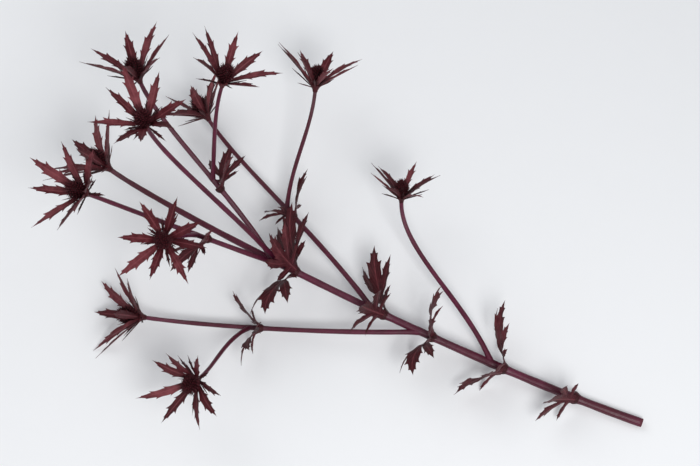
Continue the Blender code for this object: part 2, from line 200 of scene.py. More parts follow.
# The surface of a stalk: rows, ribs, knots, and the flare where it leaves its parent.
ROW_SPACING = 0.0022
FEWEST_ROWS = 60
STALK_RIBS = 8
RIB_HEIGHT = 0.034
KNOT_LENGTH = 0.0042
KNOT_SWELL = 0.20
KNOT_TONE = 0.55
FORK_KNOT = 0.7
FLARE_LENGTH = 0.007
FLARE_SWELL = 0.30
STREAKS_PER_METRE = 9.0
# The cut face from its middle to its rim: share of the disc's radius, and depth behind the cut.
CUT_RADIUS = 0.985
CUT_OUTLINE = np.array([
    (0.04, 0.00032), (0.20, 0.00030), (0.40, 0.00022), (0.60, 0.00012),
    (0.80, 0.00005), (0.93, 0.0), (1.0, 0.0002), (1.0, 0.0026),
])
# A sheath round the stalk: radius as a part of the stalk's and a part of the collar's, and height.
SHEATH_OUTLINE = (
    (1.0, 0, -0.0040), (1.12, 0, -0.0034), (0, 0.84, -0.0016), (0, 0.97, 0.0004),
    (0, 0.98, 0.0018), (0, 0.90, 0.0027), (0, 0.78, 0.0026), (1.02, 0, 0.0014),
)

# What is added to a bloom's or a whorl's seed for the finer draws.
RUFF_SEED = 1000
CONE_SEED = 500
LEAF_SEED = 2000

# Dyes, with painted shade and painted highlights among them, as linear red, green and blue.
# The "foot" colours of the bract and leaf dyes are painted shade, for the blades' feet by the receptacle
# and the sheath.
BRACT_DYE_AND_PAINTED_SHADE = {
    "dark": (0.020, 0.002, 0.004), "middle": (0.078, 0.009, 0.014),
    "light": (0.270, 0.070, 0.082), "foot": (0.036, 0.003, 0.005),
}
LEAF_DYE_AND_PAINTED_SHADE = {
    "dark": (0.016, 0.002, 0.003), "middle": (0.060, 0.007, 0.011),
    "light": (0.210, 0.052, 0.062), "foot": (0.050, 0.004, 0.010),
}
STALK_DYE = {
    "dark": (0.018, 0.001, 0.005), "middle": (0.068, 0.004, 0.019), "light": (0.200, 0.020, 0.070),
    "brown": (0.052, 0.006, 0.009), "knot": (0.030, 0.004, 0.007), "fibre": (0.220, 0.036, 0.088),
}
PITH_TINTS = {
    "pith": (0.420, 0.270, 0.190), "rind": (0.095, 0.014, 0.026), "heart": (0.560, 0.420, 0.320),
}
# The floret "deep" colour is near black dye darkened further as painted shade among the florets, and "tip"
# is a painted reddish highlight.
FLORET_DYE_AND_PAINTED_LIGHT = {
    "deep": (0.004, 0.001, 0.001), "tip": (0.090, 0.012, 0.019), "grain": (0.034, 0.005, 0.008),
}
FLOOR_TINTS = ((0.86, 0.87, 0.88), (0.82, 0.83, 0.84))

# The floor's half side, and each lamp's place, size and power in watts.
FLOOR_HALF_SIDE = 6.0
LAMPS = {
    "soft_key": ((-0.9, 1.0, 1.8), 1.0, 32.0),
    "soft_fill": ((1.3, -0.5, 1.6), 1.6, 9.0),
}
SKY_TINT = (0.93, 0.95, 1.0, 1.0)
SKY_STRENGTH = 0.42


# Growth, by the same rule and in the same order of draws as the solids.


def unit(v):
    """A vector, or each row of an array of them, over its length."""
    v = np.asarray(v, float)
    return v / np.linalg.norm(v, axis=-1, keepdims=True)


def turned(v, axis, degrees):
    """v cos a + (axis x v) sin a + axis (axis . v)(1 - cos a), for single vectors or rows of them."""
    a = np.radians(degrees)
    a = a[..., None] if np.ndim(a) else a
    along = np.sum(axis * v, axis=-1, keepdims=True)
    return v * np.cos(a) + np.cross(axis, v) * np.sin(a) + axis * along * (1 - np.cos(a))


def facing(yaw, pitch):
    """The direction at a yaw from +X and a pitch above level."""
    yaw, pitch = math.radians(yaw), math.radians(pitch)
    level = math.cos(pitch)
    return np.array([level * math.cos(yaw), level * math.sin(yaw), math.sin(pitch)])


def across(axis):
    """Two unit vectors square to an axis and to each other, the first level where it can be."""
    level = np.cross([0.0, 0.0, 1.0], axis)
    level = unit(level) if np.linalg.norm(level) > 0.05 else np.array([0.0, 1.0, 0.0])
    return level, unit(np.cross(axis, level))


def half_width(share):
    """The solids' outline, 1 at its widest.

    It rises from the claw as a sine to the power 1.7 and falls to a point as a cosine to the power 1.15."""
    rise = CLAW + (1 - CLAW) * np.sin(np.pi / 2 * np.minimum(share / WIDEST, 1)) ** 1.7
    fall = np.cos(np.pi / 2 * np.clip((share - WIDEST) / (1 - WIDEST), 0, 1)) ** 1.15
    return np.where(share < WIDEST, rise, fall)


def fine_width(share, claw, rise):
    """The finer outline, with a claw and a rise of its own and a longer drawn-out point.

    It is claw + (1 - claw) sin^rise up to the widest place, and cos^1.35 from there to the tip."""
    before = claw + (1 - claw) * np.sin(np.pi / 2 * np.minimum(share / FINE_WIDEST, 1)) ** rise
    beyond = np.clip((share - FINE_WIDEST) / (1 - FINE_WIDEST), 0, 1)
    return np.where(share < FINE_WIDEST, before, np.cos(np.pi / 2 * beyond) ** FINE_FALL)


class Blade:
    """The line and outline of one bract or leaf lobe, as in the solids, for whole arrays of shares."""

    def __init__(self, root, outward, up, length, width, lifts, sway, twist, teeth, tooth, stagger=0.0):
        self.root, self.outward, self.up = root, unit(outward), unit(up)
        self.length, self.width, self.lifts = length, width, lifts
        self.sway, self.twist, self.teeth, self.tooth, self.stagger = sway, twist, teeth, tooth, stagger
        self.lean = TOOTH_LEAN
        self.minor = ()
        self.claw, self.rise = CLAW, FINE_RISE
        self.base_edge = None

    def frame(self, share):
        """Point, side, face and tangent: a circular arc with an even change of lift.

        A sideways sway grows as the share squared, and the face turns about the line by
        twist times share (2 - share)."""
        share = np.asarray(share, float)
        first, last = (math.radians(lift) for lift in self.lifts)
        bend = last - first if abs(last - first) > 1e-4 else 1e-4
        lift = (first + bend * share)[..., None]
        side = np.cross(self.up, self.outward)
        s = share[..., None]
        point = self.root + self.outward * (self.length * (np.sin(lift) - math.sin(first)) / bend)
        point = point + self.up * (self.length * (math.cos(first) - np.cos(lift)) / bend)
        point = point + side * (self.sway * self.length * s**2)
        tangent = unit(self.outward * np.cos(lift) + self.up * np.sin(lift) + side * (2 * self.sway * s))
        face = turned(unit(np.cross(tangent, side)), tangent, self.twist * share * (2 - share))
        return point, unit(np.cross(face, tangent)), face, tangent

    def edge(self, share, reach, lean):
        """Left and right edge points, pushed outwards by reach and onwards by lean."""
        point, side, _, tangent = self.frame(share)
        out = half_width(share) * self.width / 2 + reach
        return point + side * out + tangent * lean, point - side * out + tangent * lean

    def staggered(self, share, reach, lean):
        """Left and right edge points of one row, the right one further on by the stagger."""
        left, right = share - self.stagger / 2, share + self.stagger / 2
        return self.edge(left, reach, lean)[0], self.edge(right, reach, lean)[1]

    def lowest(self):
        """Lowest point of the outline that the solids have."""
        points = [*self.edge(0.0, 0.0, 0.0), self.frame(1.0)[0]]
        for share in self.teeth:
            points += self.staggered(share - TOOTH_FOOT, 0.0, 0.0)
            points += self.staggered(share + TOOTH_BACK, 0.0, 0.0)
            points += self.staggered(share, self.tooth, TOOTH_LEAN)
        return min(p[2] for p in points)

    def side_line(self, share, hand):
        """Reach and lean of one edge, hand +1 for the left one, at each share.

        Before a tooth's tip the reach grows as the part of its foot's length to the power 1.7, and
        after it both fall evenly to nothing. A minor tooth does the same at its part of the size."""
        reach, lean = np.zeros_like(share), np.zeros_like(share)
        for tooth, part in [(t, 1.0) for t in self.teeth] + list(self.minor):
            at = tooth - hand * self.stagger / 2
            way = np.clip((share - at + TOOTH_FOOT) / TOOTH_FOOT, 0, 1)
            back = np.clip(1 - (share - at) / TOOTH_BACK, 0, 1)
            reach += part * self.tooth * np.where(share <= at, way**1.7, back)
            lean += part * self.lean * np.where(share <= at, way**1.1, back)
        return reach, lean

    def key_shares(self, even):
        """Shares to sample: even steps, closer ones near the point, and those of each tooth."""
        keys = [np.linspace(0, 1, even), np.array(NEAR_POINT)]
        for tooth in list(self.teeth) + [t for t, _ in self.minor]:
            for hand in (1, -1):
                at = tooth - hand * self.stagger / 2
                keys.append(at - TOOTH_FOOT * np.array(TOOTH_SLOPE))
                keys.append(at + TOOTH_BACK * np.array(TOOTH_NOTCH))
        keys = np.unique(np.round(np.concatenate(keys), 4))
        return keys[(keys >= 0) & (keys <= 1)]


class Bloom:
    """One bloom: its base, axis and bracts, drawn from its seed in the order that the solids draw them."""

    def __init__(self, base, axis, size, seed):
        self.base, self.axis, self.size, self.seed = base, axis, size, seed
        draw = random.Random(seed)
        self.first, self.second = across(axis)
        spin = draw.uniform(0, 360)
        self.large = [
            self.large_bract(draw, spin + 360 * i / LARGE_BRACTS) for i in range(LARGE_BRACTS)
        ]
        self.small = [
            self.small_bract(draw, spin + 360 * (i + 0.5) / SMALL_BRACTS) for i in range(SMALL_BRACTS)
        ]

    def outward(self, degrees):
        return turned(self.first, self.axis, degrees)

    def root(self, outward, radius, depth):
        """Where a bract grows: out from the axis by a radius and below the base by a depth, for size 1."""
        return self.base + outward * (self.size * radius) - self.axis * (self.size * depth)

    def large_bract(self, draw, degrees):
        """A toothed bract. Some of them stand steeper than the rest."""
        outward = self.outward(degrees + draw.uniform(-9, 9))
        steep = draw.uniform(-8, 8) + (STEEP_LIFT if draw.random() < STEEP_PART else 0)
        lifts = (LARGE_LIFTS[0] + steep, LARGE_LIFTS[1] + steep + draw.uniform(-16, 12))
        length = self.size * LARGE_LENGTH * draw.uniform(0.84, 1.10)
        width = self.size * LARGE_WIDTH * draw.uniform(0.88, 1.12)
        return Blade(
            self.root(outward, ROOT_RADIUS, ROOT_DEPTH), outward, self.axis, length, width, lifts,
            draw.uniform(-0.10, 0.10), draw.uniform(-28, 28), BRACT_TEETH,
            self.size * TOOTH_REACH * draw.uniform(0.8, 1.3), draw.uniform(-STAGGER, STAGGER),
        )

    def small_bract(self, draw, degrees):
        """A narrow bract between two large ones, with two pairs of spiny teeth."""
        outward = self.outward(degrees + draw.uniform(-8, 8))
        lift = draw.uniform(8, 44)
        length = self.size * SMALL_LENGTH * draw.uniform(0.75, 1.2)
        made = Blade(
            self.root(outward, SMALL_ROOT_RADIUS, SMALL_ROOT_DEPTH), outward, self.axis,
            length, self.size * SMALL_WIDTH, (lift, lift - 0.5),
            0.0, 0.0, SMALL_TEETH, self.size * SMALL_TOOTH,
        )
        made.lean = self.size * SMALL_TOOTH_LEAN
        return made

    def stalk_end(self):
        return self.base - self.axis * (self.size * RECEPTACLE_DEPTH + STALK_END_GAP)


def bezier(points, share):
    """Point and direction on a cubic curve through four handles, for a share or an array of them."""
    a, b, c, d = points
    s = np.asarray(share, float)[..., None]
    r = 1 - s
    point = a * r**3 + b * (3 * r**2 * s) + c * (3 * r * s**2) + d * s**3
    return point, unit((b - a) * r**2 + (c - b) * (2 * r * s) + (d - c) * s**2)


def fork(along, chord):
    """The direction in which a side stalk leaves: opened from its chord, within the fork angles."""
    aside = unit(chord - along * chord.dot(along))
    angle = math.acos(np.clip(along.dot(unit(chord)), -1, 1)) * FORK_OPENING
    angle = min(max(angle, FORK_ANGLES[0]), FORK_ANGLES[1])
    return along * math.cos(angle) + aside * math.sin(angle)


def grow():
    """Every bloom, and the four handles and two radii of every stalk, by name."""
    blooms, curves, radii = {}, {}, {}
    for name, (parent, station, place, face, size, seed) in STALKS.items():
        axis = facing(*face)
        x, y, z = place
        base = FOOT + np.array([x, y, 0.0 if z is None else z - FOOT[2]])
        bloom = Bloom(base, axis, size, seed)
        if z is None:
            drop = min(blade.lowest() for blade in bloom.large) - BLADE_THICKNESS / 2
            bloom = Bloom(base - np.array([0, 0, drop]), axis, size, seed)
        end = bloom.stalk_end()
        if parent is None:
            start, leaving = FOOT, unit(FOOT_DIRECTION)
        else:
            start, along = bezier(curves[parent], station)
            leaving = fork(along, end - start)
        reach = np.linalg.norm(end - start)
        upturn = min(ARRIVING_HANDLE * reach, UPTURN)
        curves[name] = (start, start + leaving * (LEAVING_HANDLE * reach), end - axis * upturn, end)
        radii[name] = STALK_RADII.get(parent, SIDE_STALK_RADII)
        blooms[name] = bloom
    return blooms, curves, radii


class Leaf:
    """One clasping leaf: the middle lobe and its side lobes, drawn as the solids draw them."""

    def __init__(self, root, outward, axis, length, spin, draw):
        length *= draw.uniform(0.9, 1.08)
        lift = draw.uniform(30, 52)
        droop = lift - draw.uniform(25, 60)
        twist = draw.uniform(-14, 14) - LEAF_ROLL * math.cos(math.radians(spin))
        self.middle = Blade(
            root, outward, axis, length, length * LEAF_WIDTH, (lift, droop),
            draw.uniform(-0.08, 0.08), twist, LOBE_TEETH, length * LEAF_TOOTH,
            draw.uniform(-0.03, 0.03),
        )
        self.lobes = []
        for pair, (spread, share) in enumerate(LOBE_SPREADS):
            for hand in (1, -1):
                turn = hand * (spread + draw.uniform(-7, 7))
                reach = length * share * draw.uniform(0.88, 1.1)
                roll = draw.uniform(-12, 12)
                self.lobes.append(self.lobe(pair, hand, turn, reach, droop - lift, roll))

    def lobe(self, pair, hand, turn, reach, bend, roll):
        """A side lobe that grows from a stretch of the middle lobe's edge."""
        lower, upper = LOBE_JOINS[pair], LOBE_JOINS[pair + 1]
        side = 0 if hand > 0 else 1
        low, high = self.middle.edge(lower, 0, 0)[side], self.middle.edge(upper, 0, 0)[side]
        _, across_middle, face, tangent = self.middle.frame((lower + upper) / 2)
        made = Blade(
            (low + high) / 2, turned(tangent, face, turn), face, reach, reach * LOBE_WIDTH,
            (LOBE_FIRST_LIFT, bend * LOBE_BEND), LOBE_SWAY * hand, roll, SIDE_LOBE_TEETH[pair],
            reach * LOBE_TOOTH,
        )
        made.base_edge = ((low - high) / 2 * hand, -across_middle * hand)
        return made


# Surfaces, as whole arrays of points.


def placed(name, data):
    """A new object in the scene, at the origin."""
    made = bpy.data.objects.new(name, data)
    bpy.context.scene.collection.objects.link(made)
    return made


def smooth(x):
    """The smooth step x^2 (3 - 2 x) from 0 to 1, level outside."""
    x = np.clip(x, 0, 1)
    return x * x * (3 - 2 * x)


def rings(side, upper, around):
    """Unit vectors side cos a + upper sin a at even turns a, for one pair of directions or rows of them."""
    a = np.linspace(0, 2 * np.pi, around, endpoint=False)
    return side[..., None, :] * np.cos(a)[:, None] + upper[..., None, :] * np.sin(a)[:, None]


def uv_grid(u, v):
    """UV coordinates for a grid, with u along its columns and v along its rows."""
    return np.stack(np.broadcast_arrays(u[None, :], v[:, None]), axis=-1)


class Surface:
    """Gathers grids of points into one closed mesh, with a UV map and a tone value at each point."""

    def __init__(self):
        self.points, self.faces, self.uvs, self.tones = [], [], [], []
        self.count = 0

    def add(self, points, uv, tone):
        """Adds points of any array shape, and returns their numbers in that shape."""
        shape = points.shape[:-1]
        index = self.count + np.arange(math.prod(shape)).reshape(shape)
        self.points.append(points.reshape(-1, 3))
        self.uvs.append(uv.reshape(-1, 2))
        self.tones.append(np.broadcast_to(tone, shape).reshape(-1))
        self.count += math.prod(shape)
        return index

    def grid(self, points, uv, tone, close_rows=False):
        """Adds rows of closed rings as quads, and with close_rows joins the last ring to the first."""
        index = self.add(points, uv, tone)
        rows, columns = index.shape
        r = np.arange(rows if close_rows else rows - 1)
        r, c = np.meshgrid(r, np.arange(columns), indexing="ij")
        r2, c2 = (r + 1) % rows, (c + 1) % columns
        quads = np.stack([index[r, c], index[r, c2], index[r2, c2], index[r2, c]], axis=-1)
        self.faces.append(quads.reshape(-1, 4))
        if not close_rows:
            self.faces.append(index[:1, ::-1])
            self.faces.append(index[-1:])

    def make(self, name, material, smooth_angle=50):
        """The mesh object, with its UV map, its tone values and smooth shading."""
        faces = [tuple(f) for block in self.faces for f in block.tolist()]
        mesh = bpy.data.meshes.new(name)
        mesh.from_pydata(np.concatenate(self.points).tolist(), [], faces)
        corners = np.empty(len(mesh.loops), int)
        mesh.loops.foreach_get("vertex_index", corners)
        layer = mesh.uv_layers.new(name="UVMap")
        layer.data.foreach_set("uv", np.concatenate(self.uvs)[corners].ravel())
        tone = mesh.attributes.new("tone", "FLOAT", "POINT")
        tone.data.foreach_set("value", np.concatenate(self.tones))
        mesh.shade_smooth()
        mesh.set_sharp_from_angle(angle=math.radians(smooth_angle))
        mesh.materials.append(material)
        mesh.validate()
        return placed(name, mesh)


def blade_offsets(blade, shares, width, over):
    """Distance from the middle line, half width v plus the teeth's reach, and lean along it.

    Reach and lean spread inwards as |v|^5, so each tooth has a broad foot."""
    spread = np.abs(over) ** 5
    left, right = (blade.side_line(shares, hand) for hand in (1, -1))
    reach, lean = (np.where(over > 0, left[i][:, None], right[i][:, None]) * spread for i in (0, 1))
    return width * over + reach * np.sign(over), lean


def blade_relief(blade, shares, width, over, upper, tone, trough, ripple):
    """Height off the sheet's middle, and the sheet's half thickness, on its upper (+1) or lower (-1) face.

    The height is trough v^2 less a groove exp(-(v / midrib)^2), plus ripples |v|^3 sin(17 share).
    The sheet thins towards its edge as |v|^2.5 and has the midrib's ridge below."""
    rib = np.exp(-((over / MIDRIB_WIDTH) ** 2))
    fade = np.clip((1 - shares) / POINT_FADE, 0, 1)[:, None]
    height = width * trough * over**2 * fade
    height = height - width * MIDRIB_GROOVE * rib * fade * np.where(upper > 0, 1, -0.2)
    if ripple:
        wave = np.sin(shares[:, None] * 17 + tone * 40 + np.sign(over) * 1.3)
        begin = smooth(shares / JOIN_BLEND)[:, None]
        height = height + ripple * blade.width * wave * np.abs(over) ** 3 * begin * fade
    edge = 1 - EDGE_THINNING * np.abs(over) ** 2.5
    thick = SHEET_THICKNESS / 2 * edge * upper * (0.35 + 0.65 * fade)
    ridge = np.where(upper < 0, rib * SHEET_THICKNESS * MIDRIB_RIDGE, 0)
    return height, thick - ridge * (0.3 + 0.7 * fade)


def from_join(blade, shares, over, points, face, tangent, thick):
    """A side lobe's points, which start on its stretch of the middle lobe's edge and blend into its own."""
    along, inward = blade.base_edge
    foot = blade.root + along * 0.98 * over[None, :, None] + inward * JOIN_DEPTH
    foot = foot + face[:, None] * thick[..., None]
    start = foot + tangent[:, None] * (shares * blade.length)[:, None, None]
    blend = smooth(shares / JOIN_BLEND)[:, None, None]
    return start * (1 - blend) + points * blend


def blade_surface(surface, blade, tone, even=14, columns=9, trough=0.16, ripple=0.0):
    """A bract or lobe: point(share, v) = line + side offset + face (height +- thickness) + tangent lean.

    v runs from one edge to the other over the upper face and back over the lower one, so the blade is
    one closed tube."""
    shares = blade.key_shares(even)
    point, side, face, tangent = blade.frame(shares)
    width = fine_width(shares, blade.claw, blade.rise) * blade.width / 2
    width = np.maximum(width, POINT_HALF_WIDTH)[:, None]
    v = np.linspace(1, -1, columns)
    over = np.concatenate([v, v[-2:0:-1]])
    upper = np.concatenate([np.ones(columns), -np.ones(columns - 2)])
    offset, lean = blade_offsets(blade, shares, width, over)
    height, thick = blade_relief(blade, shares, width, over, upper, tone, trough, ripple)
    points = point[:, None] + side[:, None] * offset[..., None]
    points = points + face[:, None] * (height + thick)[..., None]
    points = points + tangent[:, None] * lean[..., None]
    if blade.base_edge is not None:
        points = from_join(blade, shares, over, points, face, tangent, thick)
    surface.grid(points, uv_grid(over * 0.5 + 0.5, shares), tone)


def tube_surface(surface, point, tangent, radius, tone):
    """A tube along a path that is never upright: point + radius (side cos a + upper sin a).

    Side is up x tangent. The radius and the tone are given at each row and each point round it."""
    side = unit(np.cross([0.0, 0.0, 1.0], tangent))
    around = radius.shape[1]
    points = point[:, None] + rings(side, np.cross(tangent, side), around) * radius[..., None]
    length = np.concatenate([[0], np.cumsum(np.linalg.norm(np.diff(point, axis=0), axis=1))])
    turns = np.linspace(0, 1, around, endpoint=False)
    surface.grid(points, uv_grid(turns, length * STREAKS_PER_METRE), tone)


def turned_surface(surface, origin, axis, outline, around, tone, ribs=0, depth=0.0, closed=False, v=None):
    """A lathe shape: each (radius, height) of the outline swept about an axis.

    The radius is times 1 + depth cos(ribs a) at turn a. A closed outline comes back to its start,
    and v is the second UV coordinate of each of its points, even steps if not given."""
    a = np.linspace(0, 2 * np.pi, around, endpoint=False)
    radius, height = np.asarray(outline, float).T
    radius = radius[:, None] * (1 + depth * np.cos(ribs * a)[None, :])
    points = origin + rings(*across(axis), around)[None] * radius[..., None] + axis * height[:, None, None]
    v = np.linspace(0, 1, len(height)) if v is None else v
    surface.grid(points, uv_grid(a / (2 * np.pi), v), tone, close_rows=closed)


def spindles(surface, start, way, length, radius, belly, tone, around):
    """Many small spindles at once: point = start + way length s + ring radius w(s), pointed at the end.

    w(s) = (1 + belly sin(pi s)) (1 - s)^0.8 on five rings, with the tip as a very small last ring."""
    s = np.array([0.0, 0.22, 0.45, 0.68, 1.0])
    w = (1 + belly * np.sin(np.pi * s)) * np.clip(1 - s, 0.03, 1) ** 0.8
    side = unit(np.cross(way, [0.31, 0.17, 0.94]))
    ring = rings(side, np.cross(way, side), around)
    points = start[:, None, None] + (way * length[:, None])[:, None, None] * s[None, :, None, None]
    points = points + ring[:, None] * (radius * w)[None, :, None, None]
    v = np.broadcast_to(s[None, :, None], points.shape[:3])
    index = surface.add(points, np.stack([v * 0 + 0.5, v], axis=-1), tone[:, None, None])
    following = np.roll(index, -1, axis=2)
    quads = [index[:, :-1], following[:, :-1], following[:, 1:], index[:, 1:]]
    surface.faces.append(np.stack(quads, axis=-1).reshape(-1, 4))
    surface.faces.append(index[:, 0, ::-1])
    surface.faces.append(index[:, -1])


# Materials, all procedural.


class Value:
    """A shader socket as a Python value: + - * ** build Math nodes, with either side a number."""

    def __init__(self, finish, socket):
        self.finish, self.socket = finish, socket

    def _math(self, operation, a, b=0.0):
        return self.finish.value(self.finish.node("ShaderNodeMath", {"operation": operation}, {0: a, 1: b}))

    def __add__(self, other):
        return self._math("ADD", self, other)

    def __radd__(self, other):
        return self._math("ADD", other, self)

    def __sub__(self, other):
        return self._math("SUBTRACT", self, other)

    def __rsub__(self, other):
        return self._math("SUBTRACT", other, self)

    def __mul__(self, other):
        return self._math("MULTIPLY", self, other)

    def __rmul__(self, other):
        return self._math("MULTIPLY", other, self)

    def __pow__(self, other):
        return self._math("POWER", self, other)

    def absolute(self):
        return self._math("ABSOLUTE", self)

    def wave(self):
        """Between 0 and 1, once up and down for each whole number: 0.5 + 0.5 sin(2 pi x)."""
        return self._math("SINE", self * math.tau) * 0.5 + 0.5

    def clamped(self):
        return self._math("MINIMUM", self._math("MAXIMUM", self), 1.0)


class Finish:
    """One material under construction, with one method that adds any node."""

    def __init__(self, name):
        self.material = bpy.data.materials.new(name)
        self.material.use_nodes = True
        self.tree = self.material.node_tree
        self.shader = self.tree.nodes["Principled BSDF"]

    def node(self, kind, settings=None, inputs=None):
        """A node with its settings, then the values or links of its sockets."""
        made = self.tree.nodes.new(kind)
        for key, value in (settings or {}).items():
            if key == "stops":
                self.set_stops(made.color_ramp, value)
            else:
                setattr(made, key, value)
        for key, value in (inputs or {}).items():
            self.feed(made.inputs[key], value)
        return made

    def set_stops(self, ramp, stops):
        while len(ramp.elements) > 1:
            ramp.elements.remove(ramp.elements[-1])
        for number, (place, colour) in enumerate(stops):
            element = ramp.elements.new(place) if number else ramp.elements[0]
            element.position, element.color = place, (*colour, 1.0)

    def feed(self, socket, value):
        """Links a value to a socket, or sets the socket's own number or colour."""
        if isinstance(value, Value):
            self.tree.links.new(value.socket, socket)
        else:
            socket.default_value = value

    def value(self, node, output=0):
        return Value(self, node.outputs[output])

    def uv(self):
        """The piece's own UV map, and its two coordinates."""
        uv = self.value(self.node("ShaderNodeUVMap", {"uv_map": "UVMap"}))
        split = self.node("ShaderNodeSeparateXYZ", None, {0: uv})
        return uv, self.value(split, 0), self.value(split, 1)

    def place(self):
        return self.value(self.node("ShaderNodeTexCoord"), "Object")

    def tone(self):
        return self.value(self.node("ShaderNodeAttribute", {"attribute_name": "tone"}), "Fac")

    def noise(self, where, scale, detail=3.0, roughness=0.55, stretch=None):
        """Noise on a vector, squeezed along its axes by stretch."""
        if stretch:
            where = self.value(self.node("ShaderNodeMapping", None, {"Vector": where, "Scale": stretch}))
        sockets = {"Vector": where, "Scale": scale, "Detail": detail, "Roughness": roughness}
        return self.value(self.node("ShaderNodeTexNoise", None, sockets), "Fac")

    def ramp(self, level, stops):
        """The colour at a level, between stops of a place and a colour."""
        return self.value(self.node("ShaderNodeValToRGB", {"stops": stops}, {"Fac": level}))

    def mix(self, factor, a, b):
        """Two colours mixed by a factor."""
        settings = {"data_type": "RGBA", "blend_type": "MIX"}
        a, b = (colour if isinstance(colour, Value) else (*colour, 1.0) for colour in (a, b))
        return self.value(self.node("ShaderNodeMix", settings, {0: factor, 6: a, 7: b}), 2)

    def bump(self, height, strength, distance):
        sockets = {"Height": height, "Strength": strength, "Distance": distance}
        return self.value(self.node("ShaderNodeBump", None, sockets))

    def finish(self, colour, roughness, normal=None, **fixed):
        """The material, with its colour, roughness and normal fed and its fixed sockets set."""
        self.feed(self.shader.inputs["Base Color"], colour)
        self.feed(self.shader.inputs["Roughness"], roughness)
        if normal is not None:
            self.feed(self.shader.inputs["Normal"], normal)
        for name, value in fixed.items():
            self.shader.inputs[name.replace("_", " ")].default_value = value
        return self.material


def blade_finish(name, dye, veins, gloss):
    """Matte dyed blade: mottled dye, a paler midrib and veins fanned to the edges, and painted shade
    darkening the foot.
    """
    f = Finish(name)
    _, u, v = f.uv()
    where = f.place()
    off = (u - 0.5).absolute()
    rib = (1.0 - off * 11.0).clamped()
    fan = (v * veins - off * veins * 0.55).wave()
    fan = (fan ** 6.0) * (1.0 - off * 1.3).clamped()
    lines = (u * 22.0).wave()
    mottle = f.noise(where, 160.0, 4.0, 0.6)
    broad = f.noise(where, 34.0, 2.0, 0.5)
    level = (mottle * 0.7 + broad * 0.5 + f.tone() * 0.55 - 0.42).clamped()
    colour = f.ramp(level, [(0.0, dye["dark"]), (0.5, dye["middle"]), (1.0, dye["light"])])
    # Painted shade: the blade darkens towards its foot, where it meets the receptacle or the sheath.
    foot = (1.0 - v * 3.2).clamped()
    colour = f.mix(foot * 0.75, colour, dye["foot"])
    colour = f.mix((rib * 0.6 + fan * 0.3).clamped(), colour, dye["light"])
    fleck = (f.noise(where, 900.0, 2.0, 0.7) - 0.60) * 4.0
    colour = f.mix(fleck.clamped() * 0.25, colour, dye["light"])
    height = fan * 0.45 + rib * 0.7 + lines * 0.22 + mottle * 0.35
    roughness = (gloss + mottle * 0.22 - rib * 0.08).clamped()
    return f.finish(colour, roughness, f.bump(height, 0.8, 0.0004), Specular_IOR_Level=0.20)


def stalk_finish():
    """Glossy dyed stalk: magenta and wine streaks along it, browner stretches, darker knots, paler ribs."""
    f = Finish("stalk_dye")
    uv, u, _ = f.uv()
    where = f.place()
    streak = f.noise(uv, 22.0, 4.0, 0.6, (1.0, 1.6, 1.0))
    fibre = (u * 16.0).wave()
    blotch = f.noise(where, 60.0, 3.0, 0.55)
    brown = ((f.noise(where, 9.0, 2.0, 0.5) - 0.38) * 3.0).clamped()
    level = (streak * 0.7 + blotch * 0.7 - 0.2).clamped()
    stops = [(0.0, STALK_DYE["dark"]), (0.45, STALK_DYE["middle"]), (1.0, STALK_DYE["light"])]
    colour = f.mix(brown * 0.75, f.ramp(level, stops), STALK_DYE["brown"])
    colour = f.mix(f.tone().clamped(), colour, STALK_DYE["knot"])
    colour = f.mix(fibre * 0.16, colour, STALK_DYE["fibre"])
    height = fibre * 0.8 + streak * 0.9
    roughness = (0.24 + blotch * 0.22).clamped()
    return f.finish(colour, roughness, f.bump(height, 0.5, 0.0003), Specular_IOR_Level=0.35)


def pith_finish():
    """The cut end: pale fibrous pith, palest at its heart and stained wine towards the rind."""
    f = Finish("cut_pith")
    _, _, v = f.uv()
    grain = f.noise(f.place(), 1500.0, 3.0, 0.6)
    outer = (v * 1.25 - 0.35 + grain * 0.3).clamped()
    colour = f.mix(outer, PITH_TINTS["pith"], PITH_TINTS["rind"])
    colour = f.mix((1.0 - v * 4.0).clamped() * 0.5, colour, PITH_TINTS["heart"])
    return f.finish(colour, 0.82, f.bump(grain, 0.7, 0.0003))


def floret_finish():
    """The cone: near black wine dye, with painted shade deep among the florets and painted reddish
    highlights on the prickle tips.
    """
    f = Finish("floret_dye_and_light")
    _, _, v = f.uv()
    grain = f.noise(f.place(), 900.0, 3.0, 0.6)
    # Painted light: each floret runs from painted shade at its foot to a painted reddish highlight at its
    # tip, and the core likewise from its bottom to its top.
    outer = (v * 1.3 - 0.45 + f.tone() * 0.35).clamped()
    colour = f.mix(outer, FLORET_DYE_AND_PAINTED_LIGHT["deep"], FLORET_DYE_AND_PAINTED_LIGHT["tip"])
    colour = f.mix((grain - 0.45).clamped() * 0.7, colour, FLORET_DYE_AND_PAINTED_LIGHT["grain"])
    roughness = (0.42 + grain * 0.3).clamped()
    return f.finish(colour, roughness, f.bump(grain, 0.4, 0.0002), Specular_IOR_Level=0.22)


# Pieces, one for each solid, and the cut face.


def seat(piece, node):
    """A finished piece stands for its solid and rides on the one body."""
    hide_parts(node)
    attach(piece, "root")


